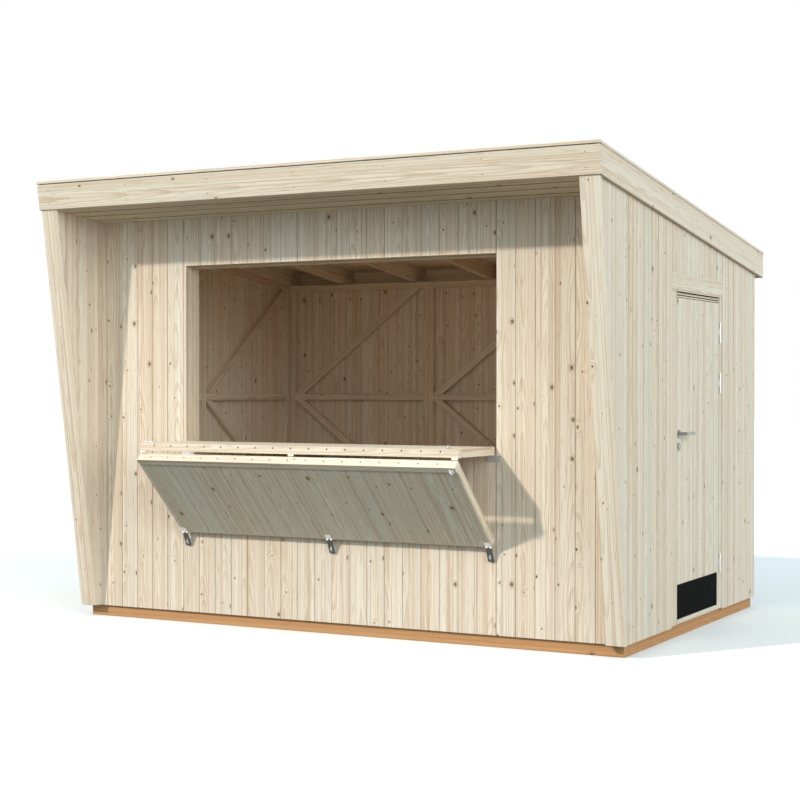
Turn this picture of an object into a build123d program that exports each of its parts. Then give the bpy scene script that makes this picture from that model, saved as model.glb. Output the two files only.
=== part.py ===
"""Timber market stall: a closed cabin with a serving hatch under a deep leaning canopy.

Millimetres, +Z up, +X to the right along the front, +Y from the front to the rear.
The origin is on the ground at the centre of the impregnated base frame.
"""
from build123d import *
import os
from math import atan, cos, radians, sin

os.makedirs("parts", exist_ok=True)

# Base frame of impregnated beams and the floor on it
BASE_LENGTH = 3560
BASE_DEPTH = 2320
BEAM_WIDTH = 45
BEAM_HEIGHT = 90
JOIST_COUNT = 9
FLOOR_THICKNESS = 19

# Wall elements: vertical tongued boards on square framing
CLADDING = 20
CLADDING_BOTTOM = 68
STUD = 45
MID_RAIL_Z = 1340
REAR_STUD_X = 568
DOUBLE_STUD = 76
BRACE_SLOPE = 0.777
JOINT_GAP = 1

# Roof: the plane of the deck's upper side falls to the rear
ROOF_SLOPE = 0.123
FRONT_OVERHANG = 472
REAR_OVERHANG = 132
ROOF_FRONT_Z = 2661
DECK = 18
RAFTER_DEPTH = 108
RAFTER_SPACING = 600
RAFTER_SHIFT = -88
SOFFIT = 19
FASCIA = 22
FASCIA_HEIGHT = 148
TRIM_THICKNESS = 17
TRIM_WIDTH = 62
TRIM_LIP = 3
FELT = 4

# Wings: closed side screens whose front edge leans out to carry the canopy
WING_INNER_X = 1697
WING_OUTER_X = 1811
WING_FOOT = 71
WING_LEAN = 0.1514
WING_BOARD = 20

# Serving opening in the front wall
OPENING_HALF = 1040
OPENING_SILL = 1050
OPENING_HEAD = 2173
STOP_PROUD = 15
STOP_WIDTH = 60
STOP_DEPTH = 50

# Hatch: a counter leaf and a brace leaf, each with rails across the ends of its boards
LEAF_HALF = 1035
COUNTER_THICKNESS = 45
FLAP_THICKNESS = 54
LEAF_BOARD = 15
FLAP_SET_BACK = 3
FLAP_LIP = 9
LEAF_RAIL = 38
LEAF_STILE = 45
LEAF_STILES = 5
PIN_OFFSET = 5.5
HATCH_AXIS_OUT = 25.5
HATCH_AXIS_Z = 1057
COUNTER_DEPTH = 448
FLAP_LENGTH = 645
FOLD_ANGLE = 135

# Hatch ironwork
HINGE_PIN_RADIUS = 4
KNUCKLE_PLAY = 0.5
BARREL_GAP = 1
HINGE_PLATE = 2.5
WALL_HINGE_WIDTH = 91
WALL_HINGE_X = 1025
WALL_HINGE_DROP = 34
FLAP_HINGE_WIDTH = 37
FLAP_HINGE_X = 1015
HINGE_REACH = 38
HASP_LENGTH = 88
HASP_THICKNESS = 2.5
HASP_PLATE = 2
HASP_PIN_RADIUS = 3
HASP_PIN_RISE = 4
HASP_TILT = 20.7
HASP_SLOT = 10
HASP_SLOT_LENGTH = 34
HASP_SLOT_END = 9
STAPLE_WIRE = 4
STAPLE_LOOP = 13
STAPLE_REACH = 12
STAPLE_WIDTH = 30
STAPLE_PLATE = 44

# Side door, hinged at its rear edge
DOOR_FRONT = 790
DOOR_REAR = 1580
DOOR_BOTTOM = 76
DOOR_TOP = 1948
DOOR_THICKNESS = 50
DOOR_SKIN = 12
DOOR_RECESS = 3
DOOR_GAP = 7
JAMB = 25
JAMB_STOP = 12
CASING_WIDTH = 81
HINGE_STRIP = 51
HEAD_STRIPS = ((1954, 1962, 16), (1967, 1978, 12))
HEADER_BOTTOM = 1984
HEADER_HEIGHT = 103
DOOR_PIN_RADIUS = 6
DOOR_HINGE_LENGTH = 120
DOOR_HINGE_Z = (358, 1459, 1768)
DOOR_PLATE = 11
KICK_WIDTH = 736
KICK_FRONT = 798
KICK_HEIGHT = 198
KICK_BOTTOM = 106
KICK_THICKNESS = 3
LEVER_Z = 1169
LEVER_FROM_EDGE = 30
KEY_DROP = 74
ROSE_RADIUS = 22
ROSE_THICKNESS = 8
NECK_RADIUS = 9
NECK_LENGTH = 56
LEVER_LENGTH = 145

# Places that follow from the sizes above
FRONT = -BASE_DEPTH / 2
REAR = BASE_DEPTH / 2
SIDE = BASE_LENGTH / 2
WALL_FRONT = FRONT - CLADDING
WALL_REAR = REAR + CLADDING
WALL_SIDE = SIDE + CLADDING
INNER_FRONT = FRONT + STUD
INNER_REAR = REAR - STUD
INNER_SIDE = SIDE - STUD
CANOPY_FRONT = FRONT - FRONT_OVERHANG
ROOF_REAR = REAR + REAR_OVERHANG
FLOOR_TOP = BEAM_HEIGHT + FLOOR_THICKNESS
RAFTER_UNDER = DECK + RAFTER_DEPTH
SOFFIT_UNDER = RAFTER_UNDER + SOFFIT
PLATE_TOP_Z = BEAM_HEIGHT + STUD


def roof_z(y):
    """Height of the deck's upper side at a depth."""
    return ROOF_FRONT_Z - ROOF_SLOPE * (y - CANOPY_FRONT)


def wing_y(z):
    """Depth of the wings' leaning front edge at a height."""
    return FRONT - WING_FOOT - WING_LEAN * (z - CLADDING_BOTTOM)


def block(x0, x1, y0, y1, z0, z1):
    """Straight timber between two corners."""
    centre = Pos((x0 + x1) / 2, (y0 + y1) / 2, (z0 + z1) / 2)
    return centre * Box(abs(x1 - x0), abs(y1 - y0), abs(z1 - z0))


def panel_x(x0, x1, outline):
    """Panel in a plane across X: an outline of (y, z) points from x0 to x1."""
    edge = Polyline(*[(x0, y, z) for y, z in outline], close=True)
    return extrude(make_face(edge), x1 - x0, dir=(1, 0, 0))


def panel_y(y0, y1, outline):
    """Panel in a plane across Y: an outline of (x, z) points from y0 to y1."""
    edge = Polyline(*[(x, y0, z) for x, z in outline], close=True)
    return extrude(make_face(edge), y1 - y0, dir=(0, 1, 0))


def rod_x(x0, x1, y, z, radius):
    """Round bar along X."""
    return Pos((x0 + x1) / 2, y, z) * Rot(0, 90, 0) * Cylinder(radius, x1 - x0)


def rod_z(x, y, z0, z1, radius):
    """Round bar along Z."""
    return Pos(x, y, (z0 + z1) / 2) * Cylinder(radius, z1 - z0)


def mirrored(piece):
    """The same piece on the other side of the stall's middle."""
    return mirror(piece, about=Plane.YZ)


def save(name, *pieces):
    """Write one node from one solid or from like solids that don't touch."""
    solids = [solid for piece in pieces for solid in piece.solids()]
    shape = solids[0] if len(solids) == 1 else Compound(children=solids)
    export_step(shape, f"parts/{name}.step")


def under_roof(y0, y1, top_drop, bottom_drop):
    """Outline of a strip that follows the roof between two depths."""
    return [(y0, roof_z(y0) - bottom_drop), (y1, roof_z(y1) - bottom_drop),
            (y1, roof_z(y1) - top_drop), (y0, roof_z(y0) - top_drop)]


def front_edge(drop, inset):
    """Point where a layer under the roof plane meets the front fascia moved back by an inset."""
    run = (WING_LEAN * drop + inset) / (1 - WING_LEAN * ROOF_SLOPE)
    y = CANOPY_FRONT + run
    return (y, roof_z(y) - drop)


def behind_fascia(y_end, top_drop, bottom_drop):
    """Outline of a strip that follows the roof from the front fascia's back to a depth."""
    strip = under_roof(CANOPY_FRONT, y_end, top_drop, bottom_drop)
    return [front_edge(bottom_drop, FASCIA), strip[1], strip[2], front_edge(top_drop, FASCIA)]


# Base frame: two long beams with end beams and joists between them
def base():
    beams = [block(-SIDE, SIDE, y, y + BEAM_WIDTH, 0, BEAM_HEIGHT)
                for y in (FRONT, REAR - BEAM_WIDTH)]
    save("base_long_beams", *beams)
    first = -SIDE + BEAM_WIDTH / 2
    step = (BASE_LENGTH - BEAM_WIDTH) / (JOIST_COUNT + 1)
    cross = []
    for i in range(JOIST_COUNT + 2):
        x = first + i * step
        cross.append(block(x - BEAM_WIDTH / 2, x + BEAM_WIDTH / 2,
                           FRONT + BEAM_WIDTH, REAR - BEAM_WIDTH, 0, BEAM_HEIGHT))
    save("base_cross_beams", *cross)
    save("floor", block(-INNER_SIDE, INNER_SIDE, INNER_FRONT, INNER_REAR, BEAM_HEIGHT, FLOOR_TOP))


# Wall boards, split beside, over and under the openings
def front_wall():
    top = roof_z(FRONT) - RAFTER_UNDER
    save("front_wall_left", block(-SIDE, -OPENING_HALF, WALL_FRONT, FRONT, CLADDING_BOTTOM, top))
    save("front_wall_right", block(OPENING_HALF, SIDE, WALL_FRONT, FRONT, CLADDING_BOTTOM, top))
    save("front_wall_above", block(-OPENING_HALF, OPENING_HALF, WALL_FRONT, FRONT, OPENING_HEAD, top))
    save("front_wall_below", block(-OPENING_HALF, OPENING_HALF, WALL_FRONT, FRONT,
                                   CLADDING_BOTTOM, OPENING_SILL))


def side_boards(y0, y1, bottom):
    """Boards of a side wall between two depths, up to the deck."""
    return panel_x(SIDE, WALL_SIDE, [(y0, bottom), (y1, bottom),
                                     (y1, roof_z(y1) - DECK), (y0, roof_z(y0) - DECK)])


def side_and_rear_walls():
    door_front = FRONT + DOOR_FRONT - DOOR_GAP - CASING_WIDTH
    door_rear = FRONT + DOOR_REAR + DOOR_GAP + HINGE_STRIP
    header_top = HEADER_BOTTOM + HEADER_HEIGHT
    save("left_wall", mirrored(side_boards(WALL_FRONT, WALL_REAR, CLADDING_BOTTOM)))
    save("right_wall_front", side_boards(WALL_FRONT, door_front, CLADDING_BOTTOM))
    save("right_wall_rear", side_boards(door_rear, WALL_REAR, CLADDING_BOTTOM))
    save("right_wall_above_door", side_boards(door_front, door_rear, header_top))
    save("rear_wall", block(-SIDE, SIDE, REAR, WALL_REAR, CLADDING_BOTTOM,
                            roof_z(WALL_REAR) - RAFTER_UNDER))


# Framing that shows inside: studs, plates and rails, and the K braces of each element
def brace_pair(panel, depths, start, end, top_at):
    """The two braces that spread from a mid rail's end, cut to fit their bays."""
    level_cut = STUD / sin(atan(BRACE_SLOPE))
    width = end - start
    pair = []
    for foot, slope, far in ((MID_RAIL_Z + STUD, BRACE_SLOPE, (top_at(end), top_at(start))),
                             (MID_RAIL_Z, -BRACE_SLOPE, (PLATE_TOP_Z, PLATE_TOP_Z))):
        reach = foot + slope * width
        slant = panel(*depths, [(start, foot), (start + level_cut, foot),
                                (end + level_cut, reach), (end, reach)])
        pair.append(slant & panel(*depths, [(start, foot), (end, foot), (end, far[0]), (start, far[1])]))
    return pair


def framing():
    front_top = roof_z(INNER_FRONT) - RAFTER_UNDER
    rear_top = roof_z(REAR) - RAFTER_UNDER
    post = SIDE - STUD
    jamb = OPENING_HALF + STUD
    door_studs = (FRONT + DOOR_FRONT - DOOR_GAP - JAMB - STUD, FRONT + DOOR_REAR + DOOR_GAP + JAMB)
    middle = -STUD / 2

    studs = []
    for x in (-SIDE, -jamb, OPENING_HALF, post):
        studs.append(block(x, x + STUD, FRONT, INNER_FRONT, PLATE_TOP_Z, front_top - STUD))
    for x, width in ((-INNER_SIDE, STUD), (-REAR_STUD_X - DOUBLE_STUD / 2, DOUBLE_STUD),
                     (REAR_STUD_X - DOUBLE_STUD / 2, DOUBLE_STUD), (INNER_SIDE - STUD, STUD)):
        studs.append(block(x, x + width, INNER_REAR, REAR, PLATE_TOP_Z, rear_top - STUD))
    for x0, depths in ((-SIDE, (middle, INNER_REAR - STUD)),
                       (post, (*door_studs, INNER_REAR - STUD))):
        for y in depths:
            studs.append(panel_x(x0, x0 + STUD, [
                (y, PLATE_TOP_Z), (y + STUD, PLATE_TOP_Z),
                (y + STUD, roof_z(y + STUD) - RAFTER_UNDER - STUD),
                (y, roof_z(y) - RAFTER_UNDER - STUD)]))
    save("wall_studs", *studs)

    g = JOINT_GAP
    rails = [block(-SIDE, SIDE, FRONT, INNER_FRONT, BEAM_HEIGHT, PLATE_TOP_Z),
             block(-SIDE, SIDE, FRONT, INNER_FRONT, front_top - STUD, front_top),
             block(-OPENING_HALF, OPENING_HALF, FRONT, INNER_FRONT, OPENING_SILL - STUD, OPENING_SILL),
             block(-OPENING_HALF, OPENING_HALF, FRONT, INNER_FRONT, OPENING_HEAD, OPENING_HEAD + STUD),
             block(-SIDE, SIDE, INNER_REAR, REAR, BEAM_HEIGHT, PLATE_TOP_Z),
             block(-SIDE, SIDE, INNER_REAR, REAR, rear_top - STUD, rear_top)]
    bays = rear_bays()
    for x0, x1 in bays:
        rails.append(block(x0, x1, INNER_REAR, REAR, MID_RAIL_Z, MID_RAIL_Z + STUD))
    for x0 in (-SIDE, post):
        rails.append(panel_x(x0, x0 + STUD, under_roof(INNER_FRONT + g, INNER_REAR - g,
                                                       RAFTER_UNDER, RAFTER_UNDER + STUD)))
    rails.append(block(-SIDE, -post, INNER_FRONT + g, INNER_REAR - g, BEAM_HEIGHT, PLATE_TOP_Z))
    rails.append(block(post, SIDE, INNER_FRONT + g, door_studs[0] + STUD, BEAM_HEIGHT, PLATE_TOP_Z))
    rails.append(block(post, SIDE, door_studs[1], INNER_REAR - g, BEAM_HEIGHT, PLATE_TOP_Z))
    for y0, y1 in left_bays():
        rails.append(block(-SIDE, -post, y0 + g, y1 - g, MID_RAIL_Z, MID_RAIL_Z + STUD))
    for y0, y1 in ((INNER_FRONT + g, door_studs[0]), (door_studs[1] + STUD, INNER_REAR - STUD)):
        rails.append(block(post, SIDE, y0, y1, MID_RAIL_Z, MID_RAIL_Z + STUD))
    save("wall_rails", *rails)

    braces = []
    for x0, x1 in bays:
        braces += brace_pair(panel_y, (INNER_REAR, REAR), x0, x1, lambda x: rear_top - STUD)
    for y0, y1 in left_bays():
        braces += brace_pair(panel_x, (-SIDE, -post), y0, y1, lambda y: roof_z(y) - RAFTER_UNDER - STUD)
    save("wall_braces", *braces)


def rear_bays():
    """Clear widths between the rear wall's studs."""
    inner = INNER_SIDE - STUD
    half = DOUBLE_STUD / 2
    return [(-inner, -REAR_STUD_X - half), (-REAR_STUD_X + half, REAR_STUD_X - half),
            (REAR_STUD_X + half, inner)]


def left_bays():
    """Clear depths between the left wall's studs."""
    return [(INNER_FRONT, -STUD / 2), (STUD / 2, INNER_REAR - STUD)]


# Wings: outer and inner boards on a hollow core, closed by a leaning front board
def wings():
    foot = CLADDING_BOTTOM
    board_y = WING_BOARD / cos(atan(WING_LEAN))
    shoulder_y = wing_y(ROOF_FRONT_Z - FASCIA_HEIGHT) + board_y
    shoulder = (shoulder_y, roof_z(shoulder_y) - FASCIA_HEIGHT)
    heel = (wing_y(foot) + board_y, foot)
    outer = [heel, (WALL_FRONT, foot), (WALL_FRONT, roof_z(WALL_FRONT) - DECK),
             front_edge(DECK, FASCIA), shoulder]
    inner = [heel, (WALL_FRONT, foot), (WALL_FRONT, roof_z(WALL_FRONT) - RAFTER_UNDER),
             front_edge(RAFTER_UNDER, FASCIA), shoulder]
    face_y = shoulder_y - board_y
    front = panel_x(WING_INNER_X, WING_OUTER_X, [
        (wing_y(foot), foot), heel, shoulder, (face_y, roof_z(face_y) - FASCIA_HEIGHT)])
    sides = [panel_x(SIDE, WALL_SIDE, outer), panel_x(WING_INNER_X, WING_INNER_X + CLADDING, inner)]
    save("wing_boards", *sides, *[mirrored(side) for side in sides])
    save("wing_front_boards", front, mirrored(front))


# Roof: rafters, deck, felt, soffits, fascias and the trim on their upper edges
def roof():
    rear_fascia_y = ROOF_REAR - FASCIA
    places = [-SIDE + STUD / 2]
    places += [RAFTER_SHIFT + i * RAFTER_SPACING for i in range(-2, 3)]
    places.append(SIDE - STUD / 2)
    outline = behind_fascia(rear_fascia_y, DECK, RAFTER_UNDER)
    save("rafters", *[panel_x(x - STUD / 2, x + STUD / 2, outline) for x in places])
    save("roof_deck", panel_x(-WALL_SIDE, WALL_SIDE, behind_fascia(rear_fascia_y, 0, DECK)))
    save("roof_felt", panel_x(-WALL_SIDE, WALL_SIDE, under_roof(CANOPY_FRONT, ROOF_REAR, -FELT, 0)))
    front_soffit = behind_fascia(WALL_FRONT, RAFTER_UNDER, SOFFIT_UNDER)
    rear_soffit = under_roof(WALL_REAR, rear_fascia_y, RAFTER_UNDER, SOFFIT_UNDER)
    save("soffits", panel_x(-WING_INNER_X, WING_INNER_X, front_soffit),
         panel_x(-WALL_SIDE, WALL_SIDE, rear_soffit))

    outer_x = WALL_SIDE + FASCIA
    save("front_fascia", panel_x(-outer_x, outer_x, [
        front_edge(FASCIA_HEIGHT, 0), front_edge(FASCIA_HEIGHT, FASCIA),
        front_edge(0, FASCIA), front_edge(0, 0)]))
    side = panel_x(WALL_SIDE, outer_x, [
        front_edge(FASCIA_HEIGHT, FASCIA), (ROOF_REAR, roof_z(ROOF_REAR) - FASCIA_HEIGHT),
        (ROOF_REAR, roof_z(ROOF_REAR) + FELT), front_edge(-FELT, FASCIA)])
    save("side_fascias", side, mirrored(side))
    save("rear_fascia", panel_x(-WALL_SIDE, WALL_SIDE,
                                under_roof(rear_fascia_y, ROOF_REAR, 0, FASCIA_HEIGHT)))

    lip_x = outer_x + TRIM_LIP
    front_y = CANOPY_FRONT - TRIM_LIP
    rear_y = ROOF_REAR + TRIM_LIP
    top = -FELT - TRIM_THICKNESS
    front_trim = panel_x(-lip_x, lip_x, under_roof(front_y, front_y + TRIM_WIDTH, top, -FELT))
    rear_trim = panel_x(-lip_x, lip_x, under_roof(rear_y - TRIM_WIDTH, rear_y, top, -FELT))
    side_trim = panel_x(lip_x - TRIM_WIDTH, lip_x, under_roof(
        front_y + TRIM_WIDTH + JOINT_GAP, rear_y - TRIM_WIDTH - JOINT_GAP, top, -FELT))
    save("roof_trim", front_trim, rear_trim, side_trim, mirrored(side_trim))


# Stops inside the serving opening, which the closed hatch meets
def opening_stops():
    y0 = INNER_FRONT
    y1 = y0 + STOP_DEPTH
    inner_x = OPENING_HALF - STOP_PROUD
    outer_x = inner_x + STOP_WIDTH
    low = OPENING_SILL - STOP_WIDTH
    high = OPENING_HEAD + STOP_WIDTH - STOP_PROUD
    span = inner_x - JOINT_GAP
    side = block(inner_x, outer_x, y0, y1, low, high)
    save("opening_stops", side, mirrored(side),
         block(-span, span, y0, y1, low, OPENING_SILL),
         block(-span, span, y0, y1, OPENING_HEAD - STOP_PROUD, high))


class Leaf:
    """A hatch leaf laid out from its hinge line.

    u runs along the leaf from the hinge line and v runs from its weather face towards the inside.
    """

    def __init__(self, pin_y, pin_z, heading):
        self.y = pin_y
        self.z = pin_z
        self.along = (cos(radians(heading)), sin(radians(heading)))
        self.inward = (self.along[1], -self.along[0])

    def at(self, u, v):
        return (self.y + u * self.along[0] + v * self.inward[0],
                self.z + u * self.along[1] + v * self.inward[1])

    def bar(self, x0, x1, u0, u1, v0, v1):
        return panel_x(x0, x1, [self.at(u0, v0), self.at(u1, v0), self.at(u1, v1), self.at(u0, v1)])

    def frame(self, length, thickness, set_back=0, lip=0):
        """End rails with thinner stiles between the two skins.

        With a lip, the inner boards run over the far rail and only its last edge shows.
        """
        u0 = PIN_OFFSET
        u1 = PIN_OFFSET + length
        v0 = PIN_OFFSET
        v1 = PIN_OFFSET + thickness
        under = v1 - LEAF_BOARD - set_back
        pieces = [self.bar(-LEAF_HALF, LEAF_HALF, u0, u0 + LEAF_RAIL, v0, v1),
                  self.bar(-LEAF_HALF, LEAF_HALF, u1 - LEAF_RAIL, u1, v0, under if lip else v1)]
        if lip:
            pieces.append(self.bar(-LEAF_HALF, LEAF_HALF, u1 - lip, u1, under, v1 - set_back))
        step = (2 * LEAF_HALF - LEAF_STILE) / (LEAF_STILES - 1)
        for i in range(LEAF_STILES):
            x = -LEAF_HALF + i * step
            pieces.append(self.bar(x, x + LEAF_STILE, u0 + LEAF_RAIL, u1 - LEAF_RAIL,
                                   v0 + LEAF_BOARD, under))
        return pieces[0].fuse(*pieces[1:])

    def skins(self, length, thickness, set_back=0, lip=0):
        """Boards on both faces, let in between the end rails."""
        u0 = PIN_OFFSET + LEAF_RAIL
        u1 = PIN_OFFSET + length
        v0 = PIN_OFFSET
        v1 = PIN_OFFSET + thickness - set_back
        return [self.bar(-LEAF_HALF, LEAF_HALF, u0, u1 - LEAF_RAIL, v0, v0 + LEAF_BOARD),
                self.bar(-LEAF_HALF, LEAF_HALF, u0, u1 - (lip or LEAF_RAIL), v1 - LEAF_BOARD, v1)]


COUNTER = Leaf(FRONT - HATCH_AXIS_OUT, HATCH_AXIS_Z, 180)
FLAP_PIN = COUNTER.at(COUNTER_DEPTH + 2 * PIN_OFFSET, 0)
FLAP = Leaf(*FLAP_PIN, 180 + FOLD_ANGLE)


def hatch():
    save("counter_frame", COUNTER.frame(COUNTER_DEPTH, COUNTER_THICKNESS))
    save("counter_boards", *COUNTER.skins(COUNTER_DEPTH, COUNTER_THICKNESS))
    save("flap_frame", FLAP.frame(FLAP_LENGTH, FLAP_THICKNESS, FLAP_SET_BACK, FLAP_LIP))
    save("flap_boards", *FLAP.skins(FLAP_LENGTH, FLAP_THICKNESS, FLAP_SET_BACK, FLAP_LIP))


def outer_thirds(x, width):
    """Spans of a hinge's two outer knuckles."""
    return [(x - width / 2, x - width / 6), (x + width / 6, x + width / 2)]


def knuckles(x, width, pin, fixed, radius=HINGE_PIN_RADIUS):
    """Barrel of a hinge: the two outer thirds when fixed, else the middle one."""
    middle = [(x - width / 6 + KNUCKLE_PLAY, x + width / 6 - KNUCKLE_PLAY)]
    spans = outer_thirds(x, width) if fixed else middle
    return [rod_x(a, b, pin[0], pin[1], radius) for a, b in spans]


def hatch_ironwork():
    """Hinges of both leaves, and the slotted hasps with the staples they drop over."""
    pin = (COUNTER.y, COUNTER.z)
    wall_parts = []
    counter_parts = []
    flap_parts = []
    for x in (-WALL_HINGE_X, 0, WALL_HINGE_X):
        half = WALL_HINGE_WIDTH / 2
        top = pin[1] - HINGE_PIN_RADIUS - BARREL_GAP
        plate = block(x - half, x + half, WALL_FRONT - HINGE_PLATE, WALL_FRONT,
                      pin[1] - WALL_HINGE_DROP, top)
        webs = [block(a, b, WALL_FRONT - HINGE_PLATE, WALL_FRONT, top, pin[1])
                for a, b in outer_thirds(x, WALL_HINGE_WIDTH)]
        wall_parts.append(plate.fuse(*webs, *knuckles(x, WALL_HINGE_WIDTH, pin, True)))
        x0 = max(x - half, -LEAF_HALF)
        x1 = min(x + half, LEAF_HALF)
        reach = PIN_OFFSET + HINGE_REACH
        plate = COUNTER.bar(x0, x1, HINGE_PIN_RADIUS + BARREL_GAP, reach, PIN_OFFSET - HINGE_PLATE, PIN_OFFSET)
        third = WALL_HINGE_WIDTH / 6 - KNUCKLE_PLAY
        web = COUNTER.bar(x - third, x + third, 0, HINGE_PIN_RADIUS + BARREL_GAP, PIN_OFFSET - HINGE_PLATE,
                          PIN_OFFSET)
        counter_parts.append(plate.fuse(web, *knuckles(x, WALL_HINGE_WIDTH, pin, False)))
    end = COUNTER_DEPTH + 2 * PIN_OFFSET
    for x in (-FLAP_HINGE_X, 0, FLAP_HINGE_X):
        half = FLAP_HINGE_WIDTH / 2
        third = FLAP_HINGE_WIDTH / 6 - KNUCKLE_PLAY
        root = end - HINGE_PIN_RADIUS - BARREL_GAP
        plate = COUNTER.bar(x - half, x + half, end - HINGE_REACH, root,
                            PIN_OFFSET - HINGE_PLATE, PIN_OFFSET)
        webs = [COUNTER.bar(a, b, root, end, PIN_OFFSET - HINGE_PLATE, PIN_OFFSET)
                for a, b in outer_thirds(x, FLAP_HINGE_WIDTH)]
        counter_parts.append(plate.fuse(*webs, *knuckles(x, FLAP_HINGE_WIDTH, FLAP_PIN, True)))
        root = HINGE_PIN_RADIUS + BARREL_GAP
        plate = FLAP.bar(x - half, x + half, root, HINGE_REACH, PIN_OFFSET - HINGE_PLATE, PIN_OFFSET)
        web = FLAP.bar(x - third, x + third, 0, root, PIN_OFFSET - HINGE_PLATE, PIN_OFFSET)
        flap_parts.append(plate.fuse(web, *knuckles(x, FLAP_HINGE_WIDTH, FLAP_PIN, False)))
    save("wall_hinge_plates", *wall_parts)
    save("counter_hinge_plates", *counter_parts)
    save("flap_hinge_plates", *flap_parts)
    hasps()


def hasps():
    """Three hasps hinged at the flap's free end, each over a staple on the wall."""
    end = PIN_OFFSET + FLAP_LENGTH
    face = PIN_OFFSET + FLAP_THICKNESS - FLAP_SET_BACK
    pin = FLAP.at(end, face + HASP_PIN_RISE)
    arm = Leaf(*pin, 180 + FOLD_ANGLE - HASP_TILT)
    half = FLAP_HINGE_WIDTH / 2
    slot_middle = HASP_LENGTH - HASP_SLOT_END - HASP_SLOT_LENGTH / 2
    root = HASP_PIN_RADIUS + BARREL_GAP
    roots = []
    staples = []
    names = ("left_hasp", "middle_hasp", "right_hasp")
    for name, x in zip(names, (-FLAP_HINGE_X, 0, FLAP_HINGE_X)):
        bar = arm.bar(x - half, x + half, root, HASP_LENGTH, -HASP_THICKNESS / 2, HASP_THICKNESS / 2)
        slot = arm.bar(x - HASP_SLOT / 2, x + HASP_SLOT / 2, slot_middle - HASP_SLOT_LENGTH / 2,
                       slot_middle + HASP_SLOT_LENGTH / 2, -HASP_THICKNESS, HASP_THICKNESS)
        third = FLAP_HINGE_WIDTH / 6 - KNUCKLE_PLAY
        web = arm.bar(x - third, x + third, 0, root, -HASP_THICKNESS / 2, HASP_THICKNESS / 2)
        save(name, (bar - slot).fuse(web, *knuckles(x, FLAP_HINGE_WIDTH, pin, False, HASP_PIN_RADIUS)))
        plate_end = end - HASP_PIN_RADIUS - BARREL_GAP
        plate = FLAP.bar(x - half, x + half, end - HINGE_REACH, plate_end, face, face + HASP_PLATE)
        webs = [FLAP.bar(a, b, plate_end, end, face, face + HASP_PLATE)
                for a, b in outer_thirds(x, FLAP_HINGE_WIDTH)]
        roots.append(plate.fuse(*webs, *knuckles(x, FLAP_HINGE_WIDTH, pin, True, HASP_PIN_RADIUS)))
        staples.append(staple(x, arm.at(slot_middle, 0)))
    save("hasp_plates", *roots)
    save("hasp_staples", *staples)


def staple(x, through):
    """Wall plate with a loop that stands out through the hasp's slot."""
    y, z = through
    half = STAPLE_WIDTH / 2
    plate = block(x - half, x + half, WALL_FRONT - HASP_PLATE, WALL_FRONT,
                  z - STAPLE_PLATE / 2, z + STAPLE_PLATE / 2)
    outer = STAPLE_LOOP / 2
    eye = outer - STAPLE_WIRE
    reach = y - STAPLE_REACH
    loop = block(x - STAPLE_WIRE / 2, x + STAPLE_WIRE / 2, reach, WALL_FRONT, z - outer, z + outer)
    loop -= block(x - STAPLE_WIRE, x + STAPLE_WIRE, reach + STAPLE_WIRE, WALL_FRONT - HASP_PLATE,
                  z - eye, z + eye)
    return plate.fuse(loop)


# Side door with its frame, casings and ironwork
def door():
    face = WALL_SIDE - DOOR_RECESS
    back = face - DOOR_THICKNESS
    skin_back = face - DOOR_SKIN
    y0 = FRONT + DOOR_FRONT
    y1 = FRONT + DOOR_REAR
    core = block(back, skin_back, y0, y1, BEAM_HEIGHT + DOOR_GAP, DOOR_TOP)
    save("door_leaf", core.fuse(block(skin_back, face, y0, y1, DOOR_BOTTOM, DOOR_TOP)))
    kick_y = FRONT + KICK_FRONT
    save("door_kick_panel", block(face, face + KICK_THICKNESS, kick_y, kick_y + KICK_WIDTH,
                                  KICK_BOTTOM, KICK_BOTTOM + KICK_HEIGHT))

    gap0 = y0 - DOOR_GAP
    gap1 = y1 + DOOR_GAP
    stop_x = back - DOOR_GAP
    head_z = DOOR_TOP + DOOR_GAP
    header_top = HEADER_BOTTOM + HEADER_HEIGHT
    jambs = []
    for y, outward in ((gap0, -1), (gap1, 1)):
        jamb = block(INNER_SIDE, SIDE, y, y + outward * JAMB, BEAM_HEIGHT, head_z + JAMB)
        jambs.append(jamb.fuse(block(INNER_SIDE, stop_x, y - outward * JAMB_STOP, y,
                                     BEAM_HEIGHT, head_z)))
    head = block(INNER_SIDE, SIDE, gap0 + JOINT_GAP, gap1 - JOINT_GAP, head_z, head_z + JAMB)
    lintel = block(INNER_SIDE, SIDE, gap0 - JAMB, gap1 + JAMB, head_z + JAMB + JOINT_GAP,
                   header_top + STUD)
    save("door_frame", *jambs, head, lintel)

    front = gap0 - CASING_WIDTH
    rear = gap1 + HINGE_STRIP
    casing_top = HEADER_BOTTOM - JOINT_GAP
    strips = [block(SIDE, face - back_by, gap0 + JOINT_GAP, gap1 - JOINT_GAP, low, high)
              for low, high, back_by in HEAD_STRIPS]
    save("door_casings", *strips,
         block(SIDE, face, front, gap0, DOOR_BOTTOM, casing_top),
         block(SIDE, face, gap1, rear, DOOR_BOTTOM, casing_top),
         block(SIDE, WALL_SIDE, front, rear, HEADER_BOTTOM, header_top))
    door_ironwork(face, back, y0, y1)


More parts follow.
